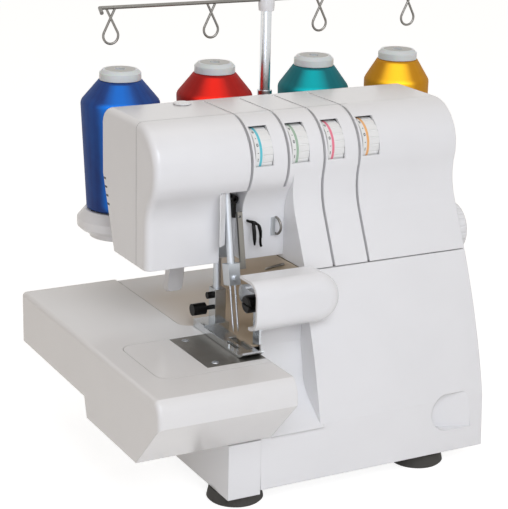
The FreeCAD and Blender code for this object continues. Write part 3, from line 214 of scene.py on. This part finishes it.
# Knob screws, thread eyes and wire hook, black oxide on turned steel: near black with a hard glint
black_oxide = ground_metal("steel_black_oxide", "#1B1A1A", "#2B2A29", rough=0.30, line_mm=0.5, bump=0.12,
                           stretch=(0.2, 1.0, 1.0))

FINISH = {
    housing_abs: "rear_housing",
    white_abs: "upper_cover front_cover base_pan spool_stand cone_holders presser_lifter handwheel guide_hub "
               "pressure_screw",
    table_abs: "extension_table free_arm",
    grey_abs: "stitch_dial differential_dial",
    black_abs: "power_inlet power_switch",
    foot_rubber: "rubber_feet",
    belt_rubber: "drive_belt",
    core_plastic: "cone_core_1 cone_core_2 cone_core_3 cone_core_4",
    lamp_glass: "lamp_lens",
    cast_frame: "machine_frame motor",
    plate_steel: "needle_plate lower_knife take_up_strip",
    bar_steel: "needles upper_knife plate_screws cover_rod main_shaft motor_pulley upper_looper lower_looper feed_dogs",
    pale_zinc: "pocket_plate needle_bar needle_clamp presser_bar",
    drawn_wire: "thread_guide thread_clips",
    foot_chrome: "presser_foot rod_outer rod_inner",
    black_oxide: "thread_eyes wire_hook foot_screw knife_knob",
}


def dress(node, material):
    """Give a CAD node its one material."""
    mesh = objects[node].data
    mesh.materials.clear()
    mesh.materials.append(material)


for material, nodes in FINISH.items():
    for node in nodes.split():
        dress(node, material)


def piece(name, points, faces, material, body, slot, at=(0, 0, 0), smooth=False):
    """Piece of the scene's own that rides a body of the part."""
    mesh = bpy.data.meshes.new(name)
    mesh.from_pydata(points, [], faces)
    if smooth:
        mesh.polygons.foreach_set("use_smooth", [True] * len(faces))
    mesh.materials.append(material)
    made = objects.new(name, mesh)
    made.location = at
    bpy.context.collection.objects.link(made)
    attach(made, body)
    return made


def circle(count):
    """Cosine and sine of evenly spaced angles, once round."""
    angles = [2 * math.pi * k / count for k in range(count)]
    return [(math.cos(a), math.sin(a)) for a in angles]


def hoops(count, around):
    """Faces that join a stack of rings, each ring to the next."""
    return [(j * around + k, j * around + (k + 1) % around, (j + 1) * around + (k + 1) % around, (j + 1) * around + k)
            for j in range(count - 1) for k in range(around)]


def upright(plan, low, high):
    """Upright plate from its plan and its two heights in millimetres: points and faces."""
    n = len(plan)
    points = [(x * MM, y * MM, z * MM) for z in (low, high) for x, y in plan]
    faces = [tuple(reversed(range(n))), tuple(range(n, 2 * n))]
    return points, faces + [(k, (k + 1) % n, n + (k + 1) % n, n + k) for k in range(n)]


def ribbon(path, half):
    """Strip that reaches half its width to both sides of a path, in millimetres: points and faces."""
    points = [tuple((Vector(p) + side) * MM) for p in path for side in (-half, half)]
    return points, [(2 * k, 2 * k + 2, 2 * k + 3, 2 * k + 1) for k in range(len(path) - 1)]


# Tension dials: a colour line round each drum and printed numbers beside it
BANDS = (("#4CBDCE", "#70CFDD"), ("#96B29B", "#AEC5B1"), ("#EA6F88", "#F290A3"), ("#EFAB61", "#F5BF85"))
DRUM_WHITE = "#EDEDEB"
DRUM_DRIFT_MM = 5.0
DRUM_ROUGH = (0.3, 0.42)
DRUM_EDGE = 0.4 * MM
LINE_W, LINE_X = 2.3 * MM, 4.9 * MM
DIGIT, DIGIT_X = 3.8 * MM, 2.1 * MM
# Of a digit's size: its middle above the base line, and how much its strokes are fattened
DIGIT_MIDDLE, DIGIT_BOLD = 0.35, 0.025
INK_PROUD = 0.15 * MM
# Degrees round the drum
FIRST_MARK, MARK_STEP = 153, 18


def dial_plastic(name, band, line_x):
    """White ABS drum, moulded, with one printed colour line round it: satin white with a clean bright stripe."""
    material = bpy.data.materials.new(name)
    tree = empty_tree(material)
    place = add(tree, "ShaderNodeTexCoord").outputs["Object"]
    axes = add(tree, "ShaderNodeSeparateXYZ", {"Vector": place})
    line = add(tree, "ShaderNodeMath", {0: axes.outputs["X"], 1: line_x, 2: LINE_W / 2}, operation="COMPARE")
    drift = add(tree, "ShaderNodeTexNoise", {"Vector": place},
                Scale=per_metre(DRUM_DRIFT_MM), Detail=3.0).outputs["Fac"]
    stripe = add(tree, "ShaderNodeMix", {"Factor": drift, "A": linear(band[0]), "B": linear(band[1])}, data_type="RGBA")
    tone = add(tree, "ShaderNodeMix", {
        "Factor": line.outputs[0], "A": linear(DRUM_WHITE), "B": stripe.outputs["Result"]}, data_type="RGBA")
    gloss = add(tree, "ShaderNodeMapRange", {"Value": drift}, To_Min=DRUM_ROUGH[0], To_Max=DRUM_ROUGH[1])
    edge = add(tree, "ShaderNodeBevel", samples=EDGE_SAMPLES, Radius=DRUM_EDGE)
    shader = add(tree, "ShaderNodeBsdfPrincipled", {
        "Base Color": tone.outputs["Result"], "Roughness": gloss.outputs["Result"], "Normal": edge.outputs[0]},
        IOR=1.53)
    add(tree, "ShaderNodeOutputMaterial", {"Surface": shader.outputs[0]})
    return material


def digit_mesh(text):
    """Flat outline of a printed number, one unit in size and centred across: points and faces."""
    curve = bpy.data.curves.new("number", "FONT")
    curve.body = text
    curve.size = 1.0
    curve.offset = DIGIT_BOLD
    curve.align_x = "CENTER"
    curve.resolution_u = 3
    carrier = objects.new("number", curve)
    mesh = bpy.data.meshes.new_from_object(carrier)
    points = [tuple(v.co) for v in mesh.vertices]
    faces = [tuple(p.vertices) for p in mesh.polygons]
    objects.remove(carrier)
    bpy.data.curves.remove(curve)
    bpy.data.meshes.remove(mesh)
    return points, faces


MARKS = [digit_mesh(text) for n in range(10) for text in (str(n), "-")]
for n, band in enumerate(BANDS, 1):
    node = "tension_dial_%d" % n
    low, high = (Vector(p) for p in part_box(node))
    centre = (low + high) / 2
    radius = (high.z - low.z) / 2 + INK_PROUD
    dress(node, dial_plastic("abs_dial_printed_%d" % n, band, low.x + LINE_X))
    points, faces = [], []
    for k, (outline, cells) in enumerate(MARKS):
        mark = math.radians(FIRST_MARK + MARK_STEP * k)
        base = len(points)
        for x, y, _ in outline:
            turn = mark - (y - DIGIT_MIDDLE) * DIGIT / radius
            points.append((low.x + DIGIT_X + x * DIGIT, centre.y + radius * math.cos(turn),
                           centre.z + radius * math.sin(turn)))
        faces += [tuple(base + corner for corner in cell) for cell in cells]
    piece("dial_numbers_%d" % n, points, faces, number_ink, "dial_%d" % n, "black_abs")

# Thread packages: smooth cross wound cones with rolled edges, as (shade, slot, in the grooves, on the ridges)
YARNS = (("navy", "thread_blue", "#1B265F", "#1F7CE0"), ("red", "thread_red", "#8E0A06", "#FA2E20"),
         ("teal", "thread_teal", "#05565F", "#12A8AE"), ("gold", "thread_gold", "#C07C06", "#FFC62E"))
# The winding: pitch of its lines, lines that cross round the cone, breadth of one fibre and of a layer's drift
WIND_PITCH = 0.9 * MM
CROSS = 14
FIBRE_MM, LAYER_MM = 0.4, 22.0
# Ridges against drift in the tone, and how far the tone goes towards the light colour
RIDGE_SHARE, LIGHTEST = 0.2, 0.3
RIDGE_BUMP, FIBRE_BUMP, FIBRE_DEPTH = 0.12, 0.15, 0.1 * MM
# The sheen is full where the thread faces the eye and gone towards the sides
SHEEN_FULL_TO, SHEEN_GONE_AT, SHEEN_SHARE = 0.05, 0.25, 0.85
# The form: radii, drop below the CAD cone's foot, rise of the top slope, rolled edges as (outwards, upwards) in mm
FOOT_R, CORE_R, RIM_R, MOUTH_R = 30.5 * MM, 21.5 * MM, 19.5 * MM, 14.0 * MM
FOOT_DROP = 7.0 * MM
CONE_RISE = 17.6 * MM
FOOT_ROLL = ((-1.2, 0.0), (-0.4, 0.5), (0.0, 1.6))
CROWN_ROLL = ((0.0, -3.4), (-0.2, -1.6), (-1.1, 0.4))
WALL_LOW, WALL_BELOW_CROWN = 3.0 * MM, 3.5 * MM
RIM_DROP, MOUTH_DROP = 0.2 * MM, 0.1 * MM
WALL_STEPS, SLOPE_STEPS, AROUND = 24, 10, 120


def yarn(name, dark, light):
    """Polyester thread, cross wound: crossing families of fine lines under a tinted satin sheen."""
    material = bpy.data.materials.new(name)
    tree = empty_tree(material)
    place = add(tree, "ShaderNodeTexCoord").outputs["Object"]
    axes = add(tree, "ShaderNodeSeparateXYZ", {"Vector": place})
    angle = add(tree, "ShaderNodeMath", {0: axes.outputs["Y"], 1: axes.outputs["X"]}, operation="ARCTAN2")
    height = add(tree, "ShaderNodeMath", {0: axes.outputs["Z"], 1: 2 * math.pi / WIND_PITCH}, operation="MULTIPLY")
    families = []
    for way in (CROSS, -CROSS):
        phase = add(tree, "ShaderNodeMath", {0: angle.outputs[0], 1: way, 2: height.outputs[0]},
                    operation="MULTIPLY_ADD")
        families.append(add(tree, "ShaderNodeMath", {0: phase.outputs[0]}, operation="SINE").outputs[0])
    ridge = add(tree, "ShaderNodeMath", {0: families[0], 1: families[1]}, operation="MAXIMUM").outputs[0]
    fibre = add(tree, "ShaderNodeTexNoise", {"Vector": place}, Scale=per_metre(FIBRE_MM), Detail=3.0).outputs["Fac"]
    layer = add(tree, "ShaderNodeTexNoise", {"Vector": place}, Scale=per_metre(LAYER_MM), Detail=2.0).outputs["Fac"]
    mixed = add(tree, "ShaderNodeMath", {0: ridge, 1: RIDGE_SHARE, 2: layer}, operation="MULTIPLY_ADD")
    depth = add(tree, "ShaderNodeMapRange", {"Value": mixed.outputs[0]}, To_Min=0.0, To_Max=LIGHTEST)
    tone = add(tree, "ShaderNodeMix", {"Factor": depth.outputs["Result"], "A": linear(dark), "B": linear(light)},
               data_type="RGBA")
    laid = add(tree, "ShaderNodeBump", {"Height": ridge}, Strength=RIDGE_BUMP, Distance=FIBRE_DEPTH)
    fuzz = add(tree, "ShaderNodeBump", {"Height": fibre, "Normal": laid.outputs[0]},
               Strength=FIBRE_BUMP, Distance=FIBRE_DEPTH)
    around = add(tree, "ShaderNodeTangent", direction_type="RADIAL", axis="Z")
    fibres = add(tree, "ShaderNodeBsdfPrincipled", {"Base Color": tone.outputs["Result"], "Normal": fuzz.outputs[0]},
                 Roughness=0.6, Specular_IOR_Level=0.25)
    satin = add(tree, "ShaderNodeBsdfPrincipled", {"Normal": fuzz.outputs[0], "Tangent": around.outputs[0]},
                Base_Color=linear(light), Metallic=1.0, Roughness=0.5, Anisotropic=0.7)
    facing = add(tree, "ShaderNodeLayerWeight", Blend=0.5)
    sheen = add(tree, "ShaderNodeMapRange", {"Value": facing.outputs["Facing"]}, interpolation_type="SMOOTHSTEP",
                From_Min=SHEEN_FULL_TO, From_Max=SHEEN_GONE_AT, To_Min=SHEEN_SHARE, To_Max=0.0)
    both = add(tree, "ShaderNodeMixShader", {"Fac": sheen.outputs["Result"], 1: fibres.outputs[0], 2: satin.outputs[0]})
    add(tree, "ShaderNodeOutputMaterial", {"Surface": both.outputs[0]})
    return material


def steps_to(start, end, count):
    """Evenly spaced profile points after start, up to and with end."""
    return [tuple(a + (b - a) * k / count for a, b in zip(start, end)) for k in range(1, count + 1)]


def package_profile(r, height):
    """Side profile of a wound package, radius against height above its foot, in metres."""
    crown = height - CONE_RISE
    rows = [(CORE_R, 0.0)] + [(FOOT_R + out * MM, up * MM) for out, up in FOOT_ROLL]
    rows += steps_to((FOOT_R, WALL_LOW), (r, crown - WALL_BELOW_CROWN), WALL_STEPS)[:-1]
    rows += [(r + out * MM, crown + up * MM) for out, up in CROWN_ROLL]
    rows += steps_to(rows[-1], (RIM_R, height - RIM_DROP), SLOPE_STEPS)
    return rows + [(MOUTH_R, height - MOUTH_DROP)]


for n, (shade, slot, dark, light) in enumerate(YARNS, 1):
    node = "thread_cone_%d" % n
    low, high = (Vector(p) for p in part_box(node))
    low.z -= FOOT_DROP
    rows = package_profile((high.x - low.x) / 2, high.z - low.z)
    points = [(r * c, r * s, z) for r, z in rows for c, s in circle(AROUND)]
    material = yarn("polyester_thread_%s_cross_wound" % shade, dark, light)
    package = piece("thread_package_%s" % shade, points, hoops(len(rows), AROUND), material, "cone_%d" % n, slot,
                    at=((low.x + high.x) / 2, (low.y + high.y) / 2, low.z), smooth=True)
    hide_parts(node)

# From here to the cone caps, lengths are millimetres of the part's frame.
# Needle pocket: slanted moulded wall beside the needle bar
POCKET_PLAN = ((-97.6, -38.6), (-90.7, -33.0), (-90.7, -31.4), (-98.4, -37.6))
POCKET_LOW, POCKET_HIGH = 206.0, 250.6
piece("pocket_side_wall", *upright(POCKET_PLAN, POCKET_LOW, POCKET_HIGH), white_abs, "machine", "white_abs")

# The head's left face, its underside, its top and the radius of its edges
HEAD_LEFT, HEAD_LOW, HEAD_TOP, HEAD_EDGE = -158.75, 188.3, 310.0, 6.0
# Flat marks stand this far off the surface
PROUD = 0.05
ARC_STEP, ARC_POINTS = 15, 7


def round_edge(face):
    """Path round an edge of the head, from its left face to the face at this place on the other axis."""
    reach = HEAD_EDGE + PROUD
    angles = [math.radians(ARC_STEP * k) for k in range(ARC_POINTS)]
    return [(HEAD_LEFT + HEAD_EDGE - reach * math.cos(a), face - HEAD_EDGE + reach * math.sin(a)) for a in angles]


# Parting line where the front and rear halves of the head meet: up the left face and along the top
PARTING_Y, PARTING_W, PARTING_LOW, PARTING_END = -4.75, 0.5, HEAD_LOW + 1.0, 40.0
path = [(HEAD_LEFT - PROUD, PARTING_LOW), *round_edge(HEAD_TOP), (PARTING_END, HEAD_TOP + PROUD)]
points, faces = ribbon([(x, PARTING_Y, z) for x, z in path], Vector((0, PARTING_W / 2, 0)))
piece("parting_line", points, faces, grey_abs, "machine", "grey_abs")

# Painted shade of the vent slots: flat black strips on the surface round the head's back left edge, which leans back
# with height
VENT_Z = (227.0, 234.0, 241.0, 248.0)
VENT_HALF, VENT_RUN = 0.9, 4.0
LEAN_FOOT, LEAN = 46.25, 23.0 / 62.7
for n, z in enumerate(VENT_Z, 1):
    back = LEAN_FOOT + (z - HEAD_LOW) * LEAN
    path = [(HEAD_LEFT - PROUD, back - HEAD_EDGE - VENT_RUN), *round_edge(back)]
    points, faces = ribbon([(x, y, z) for x, y in path], Vector((0, 0, VENT_HALF)))
    piece("vent_slot_%d" % n, points, faces, black_abs, "machine", "black_abs")

# Thread hook: second prong and stout bar over the CAD wire, as (x, off the wall, z, radius, way across the wire)
SIDE, DEEP, UP = Vector((1, 0, 0)), Vector((0, 1, 0)), Vector((0, 0, 1))
HOOK_REACH = 8.1
WALL_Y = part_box("wire_hook")[0].y / MM + HOOK_REACH
PRONG = ((-63.4, -6.0, 221.4, 1.4, SIDE), (-63.0, -7.2, 214.0, 1.7, SIDE), (-62.6, -7.4, 207.0, 1.5, SIDE),
         (-62.2, -7.0, 202.0, 0.8, SIDE))
BAR = ((-65.2, -4.6, 222.2, 1.4, UP), (-61.8, -6.2, 221.2, 1.7, UP), (-58.8, -7.0, 219.0, 1.6, SIDE),
       (-57.2, -7.1, 214.0, 1.5, SIDE), (-56.6, -7.0, 208.0, 1.2, SIDE))
WIRE_SIDES = 12
for name, path in (("hook_prong", PRONG), ("hook_bar", BAR)):
    points = [tuple((Vector((x, WALL_Y + off, z)) + r * (across * c + DEEP * s)) * MM)
              for x, off, z, r, across in path for c, s in circle(WIRE_SIDES)]
    ends = [tuple(reversed(range(WIRE_SIDES))), tuple(range(len(points) - WIRE_SIDES, len(points)))]
    piece(name, points, hoops(len(path), WIRE_SIDES) + ends, black_oxide, "machine", "black_oxide", smooth=True)

# Foot strip of the D clip on the throat's wall
STRIP_LEFT, STRIP_RIGHT, STRIP_FRONT, STRIP_BACK = -43.4, -39.8, WALL_Y - 1.2, WALL_Y + 0.5
STRIP_LOW, STRIP_HIGH = 207.0, 222.6
STRIP_PLAN = ((STRIP_LEFT, STRIP_FRONT), (STRIP_RIGHT, STRIP_FRONT), (STRIP_RIGHT, STRIP_BACK),
              (STRIP_LEFT, STRIP_BACK))
piece("clip_strip", *upright(STRIP_PLAN, STRIP_LOW, STRIP_HIGH), pale_zinc, "machine", "steel")

# Cone caps: grey inset in the top of each white cap
CAP_IN, CAP_OUT, CAP_SIDES = 5.2, 13.5, 48
CAP_POINTS = 2 * CAP_SIDES
for n in range(1, 5):
    low, high = (Vector(p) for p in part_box("cone_core_%d" % n))
    centre = (low + high) / 2
    points = [(centre.x + r * MM * c, centre.y + r * MM * s, high.z + PROUD * MM)
              for c, s in circle(CAP_SIDES) for r in (CAP_IN, CAP_OUT)]
    faces = [(k, k + 1, (k + 3) % CAP_POINTS, (k + 2) % CAP_POINTS) for k in range(0, CAP_POINTS, 2)]
    piece("cap_inset_%d" % n, points, faces, cap_grey, "cone_%d" % n, "clear_cap")


def shown_rays(tree):
    """1 for rays that show the background: straight to the camera, in gloss or through clear plastic."""
    path = add(tree, "ShaderNodeLightPath")
    shown = path.outputs["Is Camera Ray"]
    for kind in ("Is Glossy Ray", "Is Transmission Ray"):
        shown = add(tree, "ShaderNodeMath", {0: shown, 1: path.outputs[kind]}, operation="MAXIMUM").outputs[0]
    return shown


# Floor of white paper, matt: it glows white in the view by this share, and the rest catches the shadow
GLOW, GLOW_SHARE = 1.72, 0.5
FLOOR_HALF = 6.0
PURE_WHITE = linear("#FFFFFF")
floor_paper = bpy.data.materials.new("floor_paper_white")
tree = empty_tree(floor_paper)
paper = add(tree, "ShaderNodeBsdfDiffuse", Color=linear("#F4F3F1"))
glow = add(tree, "ShaderNodeEmission", Color=PURE_WHITE, Strength=GLOW)
seen = add(tree, "ShaderNodeMath", {0: shown_rays(tree), 1: GLOW_SHARE}, operation="MULTIPLY")
both = add(tree, "ShaderNodeMixShader", {"Fac": seen.outputs[0], 1: paper.outputs[0], 2: glow.outputs[0]})
add(tree, "ShaderNodeOutputMaterial", {"Surface": both.outputs[0]})
mesh = bpy.data.meshes.new("floor")
corners = [(-FLOOR_HALF, -FLOOR_HALF, 0), (FLOOR_HALF, -FLOOR_HALF, 0), (FLOOR_HALF, FLOOR_HALF, 0),
           (-FLOOR_HALF, FLOOR_HALF, 0)]
mesh.from_pydata(corners, [], [(0, 1, 2, 3)])
mesh.materials.append(floor_paper)
floor = objects.new("floor", mesh)
bpy.context.collection.objects.link(floor)

# Warm dim room for the light, white room for what is seen
ROOM, ROOM_STRENGTH = "#F4EADF", 0.34
world = bpy.data.worlds.new("studio")
bpy.context.scene.world = world
tree = empty_tree(world)
room = add(tree, "ShaderNodeBackground", Color=linear(ROOM), Strength=ROOM_STRENGTH)
white = add(tree, "ShaderNodeBackground", Color=PURE_WHITE, Strength=1.0)
both = add(tree, "ShaderNodeMixShader", {"Fac": shown_rays(tree), 1: room.outputs[0], 2: white.outputs[0]})
add(tree, "ShaderNodeOutputWorld", {"Surface": both.outputs[0]})

# Softboxes: place and aim in metres, width, height, watts, colour
SOFTBOXES = {
    "key": ((-0.25, -1.25, 1.15), (0.0, 0.0, 0.2), 1.1, 0.8, 12.9, "#F1F6FF"),
    "top": ((-0.1, 0.1, 1.5), (0.0, 0.0, 0.2), 1.3, 1.1, 2.6, "#FFF6EC"),
    "bounce": ((-0.7, -1.15, 0.12), (-0.1, 0.0, 0.1), 0.7, 0.2, 1.2, "#DCE6FF"),
    "fill": ((-1.3, 0.55, 0.4), (-0.05, 0.0, 0.15), 0.8, 0.6, 0.4, "#FFD2A0"),
}
for name, (at, aim, width, height, watts, colour) in SOFTBOXES.items():
    light = bpy.data.lights.new(name, "AREA")
    light.shape = "RECTANGLE"
    light.size = width
    light.size_y = height
    light.energy = watts
    light.color = linear(colour)[:3]
    lamp = objects.new(name, light)
    lamp.location = at
    lamp.rotation_euler = (Vector(aim) - Vector(at)).to_track_quat("-Z", "Y").to_euler()
    bpy.context.collection.objects.link(lamp)

# Camera solved from the photo's edges, in the part's frame: the point it aims at, its distance, and its lens in pixels
AZIMUTH, ELEVATION, ROLL = math.radians(28.5), math.radians(17.1), math.radians(1.4)
AIM, DISTANCE = Vector((-0.03675, 0.01025, 0.1786)), 1.4162
PHOTO_W, LENS_PIXELS, SHIFT_PIXELS = 508, 1619.5, -2.8
SENSOR_W = 36.0
level = math.cos(ELEVATION)
back = Vector((-math.sin(AZIMUTH) * level, -math.cos(AZIMUTH) * level, math.sin(ELEVATION)))
right = (-back).cross(UP).normalized()
up = back.cross(right).normalized()
across = right * math.cos(ROLL) + up * math.sin(ROLL)
upward = up * math.cos(ROLL) - right * math.sin(ROLL)
camera = bpy.data.cameras.new("camera")
camera.sensor_fit = "HORIZONTAL"
camera.sensor_width = SENSOR_W
camera.lens = LENS_PIXELS * SENSOR_W / PHOTO_W
camera.shift_x = SHIFT_PIXELS / PHOTO_W
holder = objects.new("camera", camera)
turn = Matrix((across, upward, back)).transposed()
holder.matrix_world = Matrix.Translation(AIM + back * DISTANCE) @ turn.to_4x4()
bpy.context.collection.objects.link(holder)
bpy.context.scene.camera = holder
bpy.context.scene.view_settings.view_transform = "Standard"
